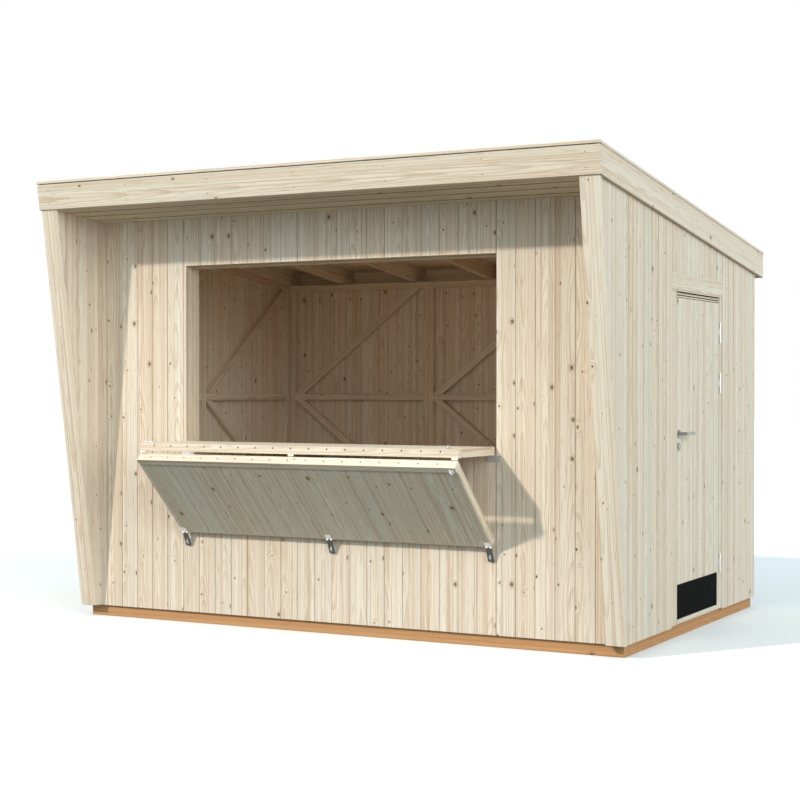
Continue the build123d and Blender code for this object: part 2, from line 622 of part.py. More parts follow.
def door_ironwork(face, back, y0, y1):
    """Hinges, and on each side a lever and a key rose."""
    pin_x = face + DOOR_PIN_RADIUS
    pin_y = y1 + DOOR_GAP / 2
    third = DOOR_HINGE_LENGTH / 3
    fixed_end = y1 + DOOR_GAP + DOOR_PLATE
    fixed = []
    moving = []
    for z in DOOR_HINGE_Z:
        z0 = z - DOOR_HINGE_LENGTH / 2
        for a in (z0, z0 + 2 * third):
            plate = block(face, face + HINGE_PLATE, pin_y, fixed_end, a, a + third)
            fixed.append(plate.fuse(rod_z(pin_x, pin_y, a, a + third, DOOR_PIN_RADIUS)))
        a = z0 + third + KNUCKLE_PLAY
        b = z0 + 2 * third - KNUCKLE_PLAY
        leaf = block(face, face + HINGE_PLATE, y1 - DOOR_PLATE, pin_y, a, b)
        moving.append(leaf.fuse(rod_z(pin_x, pin_y, a, b, DOOR_PIN_RADIUS)))
    save("door_hinges_fixed", *fixed)
    save("door_hinges_moving", *moving)

    lever_y = y0 + LEVER_FROM_EDGE
    furniture = []
    for surface, out in ((face, 1), (back, -1)):
        rose_z = (LEVER_Z, LEVER_Z - KEY_DROP)
        roses = [Pos(surface + out * ROSE_THICKNESS / 2, lever_y, z) * Rot(0, 90, 0)
                 * Cylinder(ROSE_RADIUS, ROSE_THICKNESS) for z in rose_z]
        neck_end = surface + out * NECK_LENGTH
        neck = Pos((surface + neck_end) / 2, lever_y, LEVER_Z) * Rot(0, 90, 0)
        lever_x = neck_end - out * NECK_RADIUS
        lever = Pos(lever_x, lever_y + LEVER_LENGTH / 2 - NECK_RADIUS / 2, LEVER_Z) * Rot(90, 0, 0)
        handle = roses[0].fuse(neck * Cylinder(NECK_RADIUS, NECK_LENGTH),
                               lever * Cylinder(NECK_RADIUS, LEVER_LENGTH))
        furniture += [handle, roses[1]]
    save("door_furniture", *furniture)


base()
front_wall()
side_and_rear_walls()
framing()
wings()
roof()
opening_stops()
hatch()
hatch_ironwork()
door()
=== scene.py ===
"""Looks of the timber market stall: boarded walls, raw spruce, ironwork, floor, light and camera."""

from math import atan, cos, radians

import bmesh
import bpy
import numpy as np
from mathutils import Matrix, Vector


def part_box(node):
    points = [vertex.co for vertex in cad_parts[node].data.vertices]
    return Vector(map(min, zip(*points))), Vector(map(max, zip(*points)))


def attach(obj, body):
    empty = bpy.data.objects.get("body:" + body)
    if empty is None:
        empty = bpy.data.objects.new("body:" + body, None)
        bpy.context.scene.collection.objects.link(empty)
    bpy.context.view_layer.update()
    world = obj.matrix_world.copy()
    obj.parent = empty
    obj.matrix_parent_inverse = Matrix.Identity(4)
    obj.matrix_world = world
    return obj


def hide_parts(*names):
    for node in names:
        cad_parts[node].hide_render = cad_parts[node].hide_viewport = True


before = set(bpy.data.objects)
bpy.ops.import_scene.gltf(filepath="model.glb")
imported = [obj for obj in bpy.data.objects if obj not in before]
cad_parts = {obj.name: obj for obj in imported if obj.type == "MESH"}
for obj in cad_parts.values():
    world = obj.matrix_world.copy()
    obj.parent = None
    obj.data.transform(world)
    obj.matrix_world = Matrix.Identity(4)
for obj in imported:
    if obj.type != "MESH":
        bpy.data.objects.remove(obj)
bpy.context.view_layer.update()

# Walls, in metres as everything here. SIDE, FRONT and REAR are the framing's faces, which SKIN covers.
SIDE = 1.780
FRONT = -1.160
REAR = 1.160
SKIN = 0.020
CLADDING_FOOT = 0.068
FRONT_BOARD = 0.1167
FRONT_JOINT = -1.529
SIDE_BOARD = 0.117
FRONT_WALLS = ("front_wall_left", "front_wall_right", "front_wall_above", "front_wall_below")
RIGHT_WALLS = ("right_wall_front", "right_wall_rear", "right_wall_above_door")

# Roof: its upper front edge, its slope and the thickness of its boards
ROOF_EDGE_Y = -1.632
ROOF_EDGE_Z = 2.661
ROOF_SLOPE = 0.123
ROOF_UP = Vector((0, ROOF_SLOPE, 1)).normalized()
DECK = 0.018

# Side wings: the faces of their boards, the foot of their front boards, and how these lean
WING_OUTER = 1.800
WING_INNER = 1.697
WING_MIDDLE = 1.754
WING_FOOT = 0.071
WING_LEAN = 0.1514
LEAN = (0, -1, -WING_LEAN)

# Hatch: each leaf runs along from its pin, and inward is toward the cabin when the hatch is closed
LEAF_HALF = 1.035
LEAF_RAIL = 0.038
LEAF_STILE = 0.045
LEAF_STILES = 5
LEAF_BOARD = 0.015
PIN_OFFSET = 0.0055
COUNTER_PIN = Vector((0, -1.1855, 1.057))
COUNTER_ALONG = Vector((0, -1, 0))
COUNTER_IN = Vector((0, 0, 1))
COUNTER_DEPTH = 0.448
COUNTER_THICK = 0.045
COUNTER_TOP = 1.1075
FLAP_PIN = Vector((0, -1.6445, 1.057))
FLAP_ALONG = Vector((0, 1, -1)).normalized()
FLAP_IN = Vector((0, -1, -1)).normalized()
FLAP_LENGTH = 0.645
FLAP_THICK = 0.054
FLAP_SET_BACK = 0.003
FLAP_LIP = 0.009
HINGE_PLATE = 0.0025
HASP_PLATE = 0.002

# Door: its skins and how far it lies behind the wall's face
DOOR_BOARDS = 8
DOOR_SKIN = 0.012
DOOR_RECESS = 0.003

rng = np.random.default_rng(41)


# Node helpers
class Sock:
    """A socket with the arithmetic that shader maths needs."""

    def __init__(self, tree, socket):
        self.tree = tree
        self.socket = socket

    def _math(self, operation, *values):
        return self.tree.node("ShaderNodeMath", {"operation": operation}, *values)

    def fract(self):
        return self._math("FRACT", self)

    def size(self):
        return self._math("ABSOLUTE", self)

    def __add__(self, other):
        return self._math("ADD", self, other)

    def __sub__(self, other):
        return self._math("SUBTRACT", self, other)

    def __mul__(self, other):
        return self._math("MULTIPLY", self, other)

    def __truediv__(self, other):
        return self._math("DIVIDE", self, other)

    def __pow__(self, other):
        return self._math("POWER", self, other)

    def __lt__(self, other):
        return self._math("LESS_THAN", self, other)

    def least(self, other):
        return self._math("MINIMUM", self, other)

    def most(self, other):
        return self._math("MAXIMUM", self, other)

    def step(self, low, high, a=0.0, b=1.0):
        """Smooth step from a to b as the value goes from low to high."""
        smooth = {"interpolation_type": "SMOOTHSTEP", "clamp": True}
        return self.tree.node("ShaderNodeMapRange", smooth, self, low, high, a, b)


class Tree:
    """Short way to add nodes: a type, its settings, then values or links for its sockets."""

    def __init__(self, tree):
        self.tree = tree

    def node(self, kind, settings=None, *values, out=None, **named):
        """New node; gives the output called out, or else its first enabled one."""
        made = self.tree.nodes.new(kind)
        for key, value in (settings or {}).items():
            setattr(made, key, value)
        for index, value in enumerate(values):
            self.put(made.inputs[index], value)
        for key, value in named.items():
            wanted = key.replace("_", " ").lower()
            self.put(next(s for s in made.inputs if s.name.lower() == wanted and s.enabled), value)
        return Sock(self, made.outputs[out] if out else next(s for s in made.outputs if s.enabled))

    def put(self, socket, value):
        """Link a socket or set its value; None leaves it as it is."""
        if isinstance(value, Sock):
            self.tree.links.new(value.socket, socket)
        elif value is not None:
            socket.default_value = value

    def mix(self, factor, a, b):
        """Mix of two colours, each a link or an RGB tuple."""
        made = self.tree.nodes.new("ShaderNodeMix")
        made.data_type = "RGBA"
        self.put(made.inputs[0], factor)
        for socket, value in ((made.inputs[6], a), (made.inputs[7], b)):
            self.put(socket, (*value, 1) if isinstance(value, tuple) else value)
        return Sock(self, made.outputs[2])

    def vector(self, operation, *values, out=None):
        return self.node("ShaderNodeVectorMath", {"operation": operation}, *values, out=out)

    def parts(self, vector):
        made = self.tree.nodes.new("ShaderNodeSeparateXYZ")
        self.put(made.inputs[0], vector)
        return [Sock(self, s) for s in made.outputs]

    def join(self, x, y, z):
        return self.node("ShaderNodeCombineXYZ", None, x, y, z)


def new_material(name):
    """Material with an empty tree, its principled shader and its output."""
    material = bpy.data.materials.new(name)
    material.use_nodes = True
    material.node_tree.nodes.clear()
    tree = Tree(material.node_tree)
    shader = material.node_tree.nodes.new("ShaderNodeBsdfPrincipled")
    output = material.node_tree.nodes.new("ShaderNodeOutputMaterial")
    material.node_tree.links.new(shader.outputs[0], output.inputs[0])
    return material, tree, shader


def finish_shader(tree, shader, **sockets):
    for name, value in sockets.items():
        tree.put(shader.inputs[name.replace("_", " ")], value)


def tint(colour, *factors):
    """A colour with each channel times its own factor."""
    return tuple(c * k for c, k in zip(colour, factors))


# Materials
KNOT_CELL = (0.33, 0.125)
NOISE_3D = {"noise_dimensions": "3D"}


def spruce(name, pale, ring, knot, knots=0.80, rough=0.62, fine_lines=1.0, rings=235.0, wobble=0.8,
           blush=0.52, stripes=1.0, joint=0.31):
    """Raw planed spruce: growth rings cut flat, sound dark knots, a hue for each board, and painted shade in
    the grooves between boards, as strong as joint.
    """
    material, t, shader = new_material(name)
    lie = t.node("ShaderNodeAttribute", {"attribute_name": "grain"}, out="Vector")
    tone = t.node("ShaderNodeAttribute", {"attribute_name": "tone"}, out="Fac")
    groove_shade_mask = t.node("ShaderNodeAttribute", {"attribute_name": "groove_shade_mask"}, out="Fac")
    edgeway = t.node("ShaderNodeAttribute", {"attribute_name": "edgeway"}, out="Vector")
    facing = t.node("ShaderNodeTexCoord", None, out="Normal")
    on_edge = t.vector("DOT_PRODUCT", facing, edgeway, out="Value").size()
    u, v, w = t.parts(lie)

    # knots: one possible place in each cell along a board; the large ones are browner
    cell = t.join(u / KNOT_CELL[0], v / KNOT_CELL[1], tone * 37.0)
    voronoi = {"voronoi_dimensions": "3D", "feature": "F1"}
    pick = t.node("ShaderNodeTexVoronoi", voronoi, cell, None, 1.0, randomness=0.72, out="Color")
    seat = t.node("ShaderNodeTexVoronoi", voronoi, cell, None, 1.0, randomness=0.72, out="Position")
    chance, girth, _ = t.parts(pick)
    du, dv, _ = t.parts(t.vector("SUBTRACT", cell, seat))
    du = du * KNOT_CELL[0]
    dv = dv * KNOT_CELL[1]
    reach = (du * du * 0.55 + dv * dv) ** 0.5
    here = (chance < knots) * (on_edge < 0.6)
    size = girth * girth * 0.0064 + 0.0029
    inside = (reach / size).step(0.85, 1.08, 1.0, 0.0) * here
    halo = (reach / size).step(0.9, 3.0, 1.0, 0.0) * here
    swirl = (reach / 0.03).step(0.0, 1.0, 1.0, 0.0) * here
    core = t.mix(girth.step(0.5, 0.9) * 0.8, knot, tint(ring, 0.5, 0.5, 0.5))

    def noise(x, y, z, detail, gain=0.5):
        place = t.join(x, y, z)
        return t.node("ShaderNodeTexNoise", NOISE_3D, place, None, 1.0, detail, gain, out="Fac")

    # rings: distance from a pith that lies under the face and wanders along the board
    low = noise(u * 0.9, v * 3.0, tone * 53.0, 2.0)
    fine = noise(u * 5.0, v * 26.0, w * 26.0 + tone * 9.0, 3.0)
    pith = (tone * 7.31).fract()
    across = v + (pith - 0.5) * 0.11 + (low - 0.5) * (0.03 * wobble)
    deep = w + 0.028 + (low - 0.5) * (0.075 * wobble) + u * 0.006
    radius = (across * across + deep * deep) ** 0.5
    radius = radius + swirl * 0.006 + (fine - 0.5) * 0.0022
    band = (radius * rings).fract()
    late = band.step(0.35, 0.9) * band.step(0.9, 1.0, 1.0, 0.0)

    # streaks of several widths, all long in u, which runs along the board
    wide = noise(u * 0.35, v * 24.0, tone * 21.0, 2.0)
    lines = noise(u * 0.22 + low * 0.6, v * 105.0, w * 60.0 + tone * 61.0, 3.0, 0.66)
    stripe = noise(u * 0.30 + low * 0.5, v * 52.0, tone * 17.0, 2.0, 0.6)
    dashes = noise(u * 7.0, v * 120.0, w * 60.0 + tone * 31.0, 2.0, 0.6)
    streak = noise(u * 2.2, v * 260.0, w * 260.0, 2.0, 0.6)

    # colour: the board's own hue, then each layer of grain, the knots, and painted shade in the grooves
    # between boards
    hue = (tone * 11.3).fract()
    greenish = tint(pale, 0.965, 0.99, 0.985)
    pinkish = tint(pale, 1.01, 0.955, 0.925)
    cream = tuple(min(c * 1.05, 0.93) for c in pale)
    body = t.mix(hue.step(0.2, 0.85), greenish, pinkish)
    body = t.mix(tone.step(0.35, 1.0) * 0.55, body, cream)
    warm = t.mix(wide.step(0.42, 0.68) * blush, body, tint(pale, 0.92, 0.815, 0.71))
    striped = t.mix(stripe.step(0.50, 0.70) * (0.75 * stripes), warm, tint(pale, 0.82, 0.69, 0.58))
    lined = t.mix(lines.step(0.49, 0.70) * (0.56 * fine_lines), striped, ring)
    ringed = t.mix(late * 0.44 * wide.step(0.25, 0.7, 0.5, 1.0), lined, ring)
    dashed = t.mix(dashes.step(0.54, 0.72) * 0.44, ringed, ring)
    streaked = t.mix((streak - 0.5).step(0.0, 0.35) * 0.2, dashed, ring)
    haloed = t.mix(halo * 0.42, streaked, tint(ring, 0.72, 0.72, 0.72))
    knotted = t.mix(inside * 0.97, haloed, core)
    # painted shade: the groove faces between boards are darkened, standing in for the shadow inside the
    # grooves
    groove_shade = (tone * 5.7).fract() * 0.3 + (joint - 0.15)
    colour = t.mix(groove_shade_mask * groove_shade, knotted, tint(ring, 0.62, 0.48, 0.38))

    height = late * 0.0003 + streak * 0.0001 - inside * 0.0004
    bump = t.node("ShaderNodeBump", None, 0.5, 1.0, Height=height)
    finish_shader(t, shader, Base_Color=colour, Roughness=late * -0.08 + rough, Normal=bump,
                  Specular_IOR_Level=0.16)
    return material


def metal(name, colour, rough, spangle, metallic=0.85):
    """Zinc plated or satin steel with faint cloudy spangle."""
    material, t, shader = new_material(name)
    where = t.node("ShaderNodeTexCoord", None, out="Object")
    cloud = t.node("ShaderNodeTexNoise", NOISE_3D, where, None, 220.0, 3.0, 0.55, out="Fac")
    fine = t.node("ShaderNodeTexNoise", NOISE_3D, where, None, 1400.0, 2.0, 0.5, out="Fac")
    dull = 1 - spangle
    shade = t.mix(cloud.step(0.3, 0.7), tint(colour, dull, dull, dull), colour)
    bump = t.node("ShaderNodeBump", None, 0.2, 0.2, Height=fine * 0.0002)
    finish_shader(t, shader, Base_Color=shade, Roughness=cloud * 0.15 + rough, Normal=bump, Metallic=metallic)
    return material


def coated(name, colour, rough, grit, shine):
    """Matte coating with a fine grit, for the black plate, the painted gap shadows over the door and the
    roofing felt.
    """
    material, t, shader = new_material(name)
    where = t.node("ShaderNodeTexCoord", None, out="Object")
    speck = t.node("ShaderNodeTexNoise", NOISE_3D, where, None, grit, 2.0, 0.5, out="Fac")
    blot = t.node("ShaderNodeTexNoise", NOISE_3D, where, None, 6.0, 3.0, 0.5, out="Fac")
    shade = t.mix(speck.step(0.4, 0.7), colour, tuple(c * 1.9 + 0.01 for c in colour))
    shade = t.mix(blot.step(0.3, 0.8) * 0.3, shade, tint(colour, 0.7, 0.7, 0.7))
    bump = t.node("ShaderNodeBump", None, 0.35, 1.0, Height=speck * 0.0008)
    finish_shader(t, shader, Base_Color=shade, Roughness=speck * 0.1 + rough, Normal=bump,
                  Specular_IOR_Level=shine)
    return material


CLADDING = spruce("spruce_cladding", (0.885, 0.80, 0.678), (0.53, 0.36, 0.225), (0.052, 0.024, 0.010))
# darker than the cladding: painted shade under the eaves; joint=0.8 paints strong shade into the soffit's
# grooves
SOFFIT = spruce("spruce_soffit_painted_shade", (0.81, 0.745, 0.60), (0.47, 0.335, 0.20), (0.07, 0.036, 0.018),
                joint=0.8)
HATCH = spruce("spruce_hatch_boards", (0.865, 0.81, 0.68), (0.52, 0.36, 0.22), (0.07, 0.036, 0.016),
               blush=0.3, stripes=0.55, knots=0.7, joint=0.28)
TRIM = spruce("spruce_trim", (0.885, 0.785, 0.655), (0.52, 0.375, 0.235), (0.07, 0.04, 0.02),
              knots=0.30, fine_lines=1.3, rings=300.0, wobble=0.18, blush=0.45, stripes=0.6)
FRAMING = spruce("spruce_framing", (0.83, 0.735, 0.61), (0.53, 0.375, 0.24), (0.08, 0.045, 0.02),
                 knots=0.45)
STOPS = spruce("spruce_opening_stops", (0.77, 0.645, 0.505), (0.53, 0.375, 0.24), (0.08, 0.045, 0.02),
               knots=0.6)
IMPREGNATED = spruce("brown_impregnated_timber", (0.65, 0.355, 0.17), (0.45, 0.23, 0.10),
                     (0.10, 0.05, 0.02), knots=0.4, rough=0.75)
ZINC = metal("zinc_plated_steel", (0.72, 0.73, 0.74), 0.34, 0.12)
# very dark zinc: painted shade and painted dark reflection on the hasp arms, which face down and away from
# the light
SHADED_ZINC = metal("zinc_steel_painted_shade", (0.105, 0.11, 0.10), 0.45, 0.3)
NAIL = metal("nail_steel", (0.035, 0.022, 0.014), 0.8, 0.2, metallic=0.0)
# darker than bare steel: partly painted dark reflection, standing in for dark surroundings seen in the handle
SATIN = metal("satin_steel", (0.36, 0.37, 0.37), 0.24, 0.15)
BLACK = coated("black_plate", (0.0035, 0.0038, 0.0036), 0.8, 900.0, shine=0.03)
# painted shadow: dark brown for the bars that stand in for the shadow in the gaps over the door
GAP_SHADOW = coated("painted_gap_shadow", (0.055, 0.028, 0.014), 0.9, 1200.0, shine=0.02)
FELT = coated("roofing_felt", (0.055, 0.056, 0.055), 0.9, 1500.0, shine=0.12)


# Grain on a mesh
def islands(mesh):
    """Number of the connected piece that each vertex belongs to."""
    root = np.arange(len(mesh.vertices))
    edges = np.zeros(len(mesh.edges) * 2, int)
    mesh.edges.foreach_get("vertices", edges)
    a, b = edges.reshape(-1, 2).T
    while True:
        low = np.minimum(root[a], root[b])
        before = root.copy()
        np.minimum.at(root, a, low)
        np.minimum.at(root, b, low)
        root = root[root]
        if (root == before).all():
            return np.unique(root, return_inverse=True)[1]


def lay_grain(mesh, along=None):
    """Store on each board where it lies in its own log, the way to its edges, and a tone of its own."""
    count = len(mesh.vertices)
    steady = np.eye(3) * 1e-9
    log_spread = (20, 0, 0)
    co = np.zeros(count * 3)
    mesh.vertices.foreach_get("co", co)
    co = co.reshape(-1, 3)
    which = islands(mesh)
    grain = np.zeros((count, 3))
    edgeway = np.zeros((count, 3))
    tone = np.zeros(count)
    for i in range(which.max() + 1):
        mine = np.nonzero(which == i)[0]
        points = co[mine]
        centre = (points.max(0) + points.min(0)) / 2
        flat = points - centre
        if along is None:
            axis = np.linalg.eigh(np.cov(flat.T) + steady)[1][:, 2]
        else:
            axis = np.array(along, float)
        axis = axis / np.linalg.norm(axis)
        rest = flat - np.outer(flat @ axis, axis)
        side = np.linalg.eigh(rest.T @ rest + steady)[1][:, 2]
        side = side - axis * (side @ axis)
        side = side / np.linalg.norm(side)
        depth = np.cross(axis, side)
        place = rng.random(3) * log_spread
        grain[mine] = np.stack([flat @ axis, flat @ side, flat @ depth], 1) + place
        edgeway[mine] = side
        tone[mine] = rng.random()
    for name, kind, field, values in (("grain", "FLOAT_VECTOR", "vector", grain),
                                      ("edgeway", "FLOAT_VECTOR", "vector", edgeway),
                                      ("tone", "FLOAT", "value", tone)):
        layer = mesh.attributes.new(name, kind, "POINT")
        layer.data.foreach_set(field, values.astype(np.float32).ravel())


# Objects
def add_object(name, data):
    obj = bpy.data.objects.new(name, data)
    bpy.context.scene.collection.objects.link(obj)
    return obj


def keep(obj, body, material, slot, *nodes):
    """Give a finished piece its body, its material and the CAD nodes that it stands for."""
    mesh = obj.data
    mesh.materials.clear()
    mesh.materials.append(material)
    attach(obj, body)
    if nodes:
        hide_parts(*nodes)
    return obj


def to_mesh(bm, name):
    """Turn a bmesh into a mesh and free it."""
    mesh = bpy.data.meshes.new(name)
    bm.to_mesh(mesh)
    bm.free()
    return mesh


def applied(obj, name):
    """Mesh of an object with its modifiers applied; the object goes away."""
    bpy.context.view_layer.update()
    graph = bpy.context.evaluated_depsgraph_get()
    mesh = bpy.data.meshes.new_from_object(obj.evaluated_get(graph))
    mesh.name = name
    old = obj.data
    bpy.data.objects.remove(obj)
    bpy.data.meshes.remove(old)
    return mesh


def eased(bm, name, width):
    """Object from a bmesh, with its sharp edges eased."""
    obj = add_object(name, to_mesh(bm, name))
    bevel = obj.modifiers.new("eased", "BEVEL")
    bevel.width = width
    bevel.segments = 1
    bevel.limit_method = "ANGLE"
    bevel.angle_limit = radians(35)
    return add_object(name, applied(obj, name))


def add_box(bm, place, low, high):
    """Box between two corners, in a place of its own."""
    centre = (Vector(low) + Vector(high)) / 2
    size = Vector(high) - Vector(low)
    shape = Matrix.Translation(centre) @ Matrix.Diagonal((*size, 1))
    bmesh.ops.create_cube(bm, size=1, matrix=place @ shape)


def timbers(name, body, material, slot, *nodes, edge=0.0015):
    """Copies of CAD timbers with eased edges and grain along each one."""
    bm = bmesh.new()
    for node in nodes:
        bm.from_mesh(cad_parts[node].data)
    bmesh.ops.remove_doubles(bm, verts=bm.verts, dist=0.00002)
    bmesh.ops.dissolve_limit(bm, angle_limit=radians(1), verts=bm.verts, edges=bm.edges)
    obj = eased(bm, name, edge)
    lay_grain(obj.data)
    return keep(obj, body, material, slot, *nodes)


def bars(name, body, material, slot, nodes, boxes, place, edge):
    """Straight timbers from (low corner, high corner) pairs in a place of their own, with eased edges."""
    bm = bmesh.new()
    for low, high in boxes:
        add_box(bm, place, low, high)
    bmesh.ops.recalc_face_normals(bm, faces=bm.faces)
    obj = eased(bm, name, edge)
    lay_grain(obj.data)
    return keep(obj, body, material, slot, *nodes)


# Geometry Nodes
def open_group(name, start, result, settings):
    """New tree that takes and gives a geometry; gives the tree and its inputs by name."""
    group = bpy.data.node_groups.new(name, "GeometryNodeTree")
    for label, kind in ((start, "NodeSocketGeometry"), *settings):
        group.interface.new_socket(label, in_out="INPUT", socket_type=kind)
    group.interface.new_socket(result, in_out="OUTPUT", socket_type="NodeSocketGeometry")
    inputs = group.nodes.new("NodeGroupInput")
    tree = Tree(group)
    return tree, {s.name: Sock(tree, s) for s in inputs.outputs if s.name}


def close_group(tree, done):
    """Send the finished geometry out of the tree."""
    tree.put(tree.tree.nodes.new("NodeGroupOutput").inputs[0], done)
    return tree.tree


def set_inputs(modifier, **values):
    """Give a Geometry Nodes modifier its values by each socket's identifier."""
    for item in modifier.node_group.interface.items_tree:
        if item.in_out == "INPUT" and item.name in values:
            modifier[item.identifier] = values[item.name]


def boarding_tree():
    """A row of tongued boards from one board, cut to the width of a wall."""
    t, given = open_group("row_of_boards", "Board", "Boards", (
        ("Count", "NodeSocketInt"), ("Pitch", "NodeSocketFloat"), ("Phase", "NodeSocketFloat"),
        ("Width", "NodeSocketFloat"), ("Finish", "NodeSocketMaterial")))
    start = t.join(given["Phase"], 0.0, 0.0)
    step = t.join(given["Pitch"], 0.0, 0.0)
    points = t.node("GeometryNodeMeshLine", {"mode": "OFFSET"}, given["Count"], None, start, step)
    row = t.node("GeometryNodeInstanceOnPoints", None, points, True, given["Board"])
    real = t.node("GeometryNodeRealizeInstances", None, row)
    x, y, z = t.parts(t.node("GeometryNodeInputPosition"))
    cut = x.most(0.0).least(given["Width"])
    cut_row = t.node("GeometryNodeSetPosition", None, real, True, t.join(cut, y, z))
    merged = t.node("GeometryNodeMergeByDistance", None, cut_row, True, Distance=0.00005)
    return close_group(t, t.node("GeometryNodeSetMaterial", None, merged, True, given["Finish"]))


def heads_tree():
    """A low round head on each point, facing along the point's outward direction."""
    t, given = open_group("heads_on_points", "Points", "Heads", (
        ("Radius", "NodeSocketFloat"), ("Rise", "NodeSocketFloat"), ("Finish", "NodeSocketMaterial")))
    sides = 10
    head = t.node("GeometryNodeMeshCone", None, sides, Radius_Top=given["Radius"] * 0.72,
                  Radius_Bottom=given["Radius"], Depth=given["Rise"])
    outward = t.node("GeometryNodeInputNamedAttribute", {"data_type": "FLOAT_VECTOR"}, "outward")
    turn = t.node("FunctionNodeAlignRotationToVector", {"axis": "Z"}, Vector=outward)
    placed = t.node("GeometryNodeInstanceOnPoints", None, given["Points"], True, head, Rotation=turn)
    real = t.node("GeometryNodeRealizeInstances", None, placed)
    return close_group(t, t.node("GeometryNodeSetMaterial", None, real, True, given["Finish"]))


BOARDING = boarding_tree()
HEADS = heads_tree()


# Rows of boards
def board_mesh(pitch, thickness, foot, top, groove):
    """One board: x across, outer face at y = 0, z along, with chamfered edges and its tongue."""
    gap = 0.0012
    back = 0.0008
    brink = 0.0002
    a = gap / 2
    b = pitch - gap / 2
    tongue = min(0.003, thickness * 0.2)
    middle = thickness / 2
    outline = [(a + groove, 0), (b - groove, 0), (b - groove + brink, brink), (b, groove),
               (b, middle - tongue), (b + gap, middle - tongue),
               (b + gap, middle + tongue), (b, middle + tongue),
               (b, thickness - back), (b - back, thickness), (a + back, thickness), (a, thickness - back),
               (a, groove), (a + groove - brink, brink)]
    on_face = (0, 1, 9, 10)
    n = len(outline)
    verts = [(x, y, foot) for x, y in outline] + [(x, y, top) for x, y in outline]
    faces = [tuple(range(n)), tuple(range(2 * n - 1, n - 1, -1))]
    faces += [(i, n + i, n + (i + 1) % n, (i + 1) % n) for i in range(n)]
    mesh = bpy.data.meshes.new("board")
    mesh.from_pydata(verts, [], faces)
    mesh.validate()
    # 0 at the corners of the outer and back faces, 1 at the chamfers and edges, where the shader paints shade
    # in the grooves
    layer = mesh.attributes.new("groove_shade_mask", "FLOAT", "POINT")
    layer.data.foreach_set("value", [0.0 if i % n in on_face else 1.0 for i in range(2 * n)])
    return mesh


def boards(width, pitch, phase, thickness, foot, top, groove=0.0034):
    """Mesh of a row of boards from 0 to width; phase is where a joint falls."""
    first = phase - np.ceil(phase / pitch) * pitch
    count = int(np.ceil((width - first) / pitch - 1e-6))
    obj = add_object("row", board_mesh(pitch, thickness, foot, top, groove))
    modifier = obj.modifiers.new("boards", "NODES")
    modifier.node_group = BOARDING
    set_inputs(modifier, Count=count, Pitch=pitch, Phase=float(first), Width=width, Finish=CLADDING)
    return applied(obj, "row")


def trim(bm, point, normal):
    """Cut away what lies beyond a plane and close the cut."""
    geometry = bm.verts[:] + bm.edges[:] + bm.faces[:]
    cut = bmesh.ops.bisect_plane(bm, geom=geometry, plane_co=point, plane_no=normal, clear_outer=True,
                                 dist=0.000001)
    edges = [e for e in cut["geom_cut"] if isinstance(e, bmesh.types.BMEdge)]
    bmesh.ops.holes_fill(bm, edges=edges, sides=0)


def place_boards(name, body, slot, nodes, rows, material=CLADDING):
    """Join rows of boards, each with its place and its cuts, to one piece."""
    whole = bmesh.new()
    for mesh, place, cuts in rows:
        bm = bmesh.new()
        bm.from_mesh(mesh)
        bm.transform(place)
        for point, normal in cuts:
            trim(bm, point, normal)
        bmesh.ops.remove_doubles(bm, verts=bm.verts, dist=0.00003)
        loose = [v for v in bm.verts if not v.link_faces]
        bmesh.ops.delete(bm, geom=loose, context="VERTS")
        bmesh.ops.recalc_face_normals(bm, faces=bm.faces)
        part = to_mesh(bm, "part")
        whole.from_mesh(part)
        bpy.data.meshes.remove(part)
        bpy.data.meshes.remove(mesh)
    obj = add_object(name, to_mesh(whole, name))
    along = rows[0][1].to_3x3() @ Vector((0, 0, 1))
    lay_grain(obj.data, tuple(along))
    return keep(obj, body, material, slot, *nodes)


def place_from(origin, x_axis, z_axis=(0, 0, 1)):
    """Place with the boards' across direction, their length and the outer face from a corner."""
    x = Vector(x_axis).normalized()
    z = Vector(z_axis).normalized()
    y = z.cross(x)
    turn = Matrix((x, y, z)).transposed()
    return Matrix.Translation(Vector(origin)) @ turn.to_4x4()


def roof_top(y):
    """Height of the roof boards' upper face at a depth."""
    return ROOF_EDGE_Z - ROOF_SLOPE * (y - ROOF_EDGE_Y)


def roof_cut(drop):
    """Plane that runs under the roof's upper side at a drop."""
    return ((0, ROOF_EDGE_Y, ROOF_EDGE_Z - drop), ROOF_UP)


def front_phase(x0):
    """Distance from a wall edge to a joint of the front boards."""
    return (FRONT_JOINT - x0) % FRONT_BOARD


# Walls, wings and roof
def clad(name, row, corner, across, cuts=()):
    """Boards of one wall, in the place of its solid."""
    rows = [(row, place_from(corner, across), cuts)]
    place_boards(name + "_boards", "cabin", "cladding_boards", [name], rows)


def cladding():
    """Boards of the four walls; those of the side walls are cut along the roof."""
    for name in FRONT_WALLS:
        low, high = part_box(name)
        row = boards(high.x - low.x, FRONT_BOARD, front_phase(low.x), SKIN, low.z, high.z, groove=0.0022)
        clad(name, row, (low.x, low.y, 0), (1, 0, 0))
    low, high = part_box("rear_wall")
    row = boards(high.x - low.x, FRONT_BOARD, front_phase(low.x), SKIN, low.z, high.z)
    clad("rear_wall", row, (high.x, high.y, 0), (-1, 0, 0))
    spare = 0.05
    under_deck = [roof_cut(DECK)]
    low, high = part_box("left_wall")
    row = boards(high.y - low.y, SIDE_BOARD, 0.02, SKIN, low.z, high.z + spare)
    clad("left_wall", row, (low.x, high.y, 0), (0, -1, 0), under_deck)
    for name in RIGHT_WALLS:
        low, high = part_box(name)
        phase = (FRONT - low.y) % SIDE_BOARD
        row = boards(high.y - low.y, SIDE_BOARD, phase, SKIN, low.z, high.z + spare, groove=0.0048)
        clad(name, row, (high.x, low.y, 0), (0, 1, 0), under_deck)


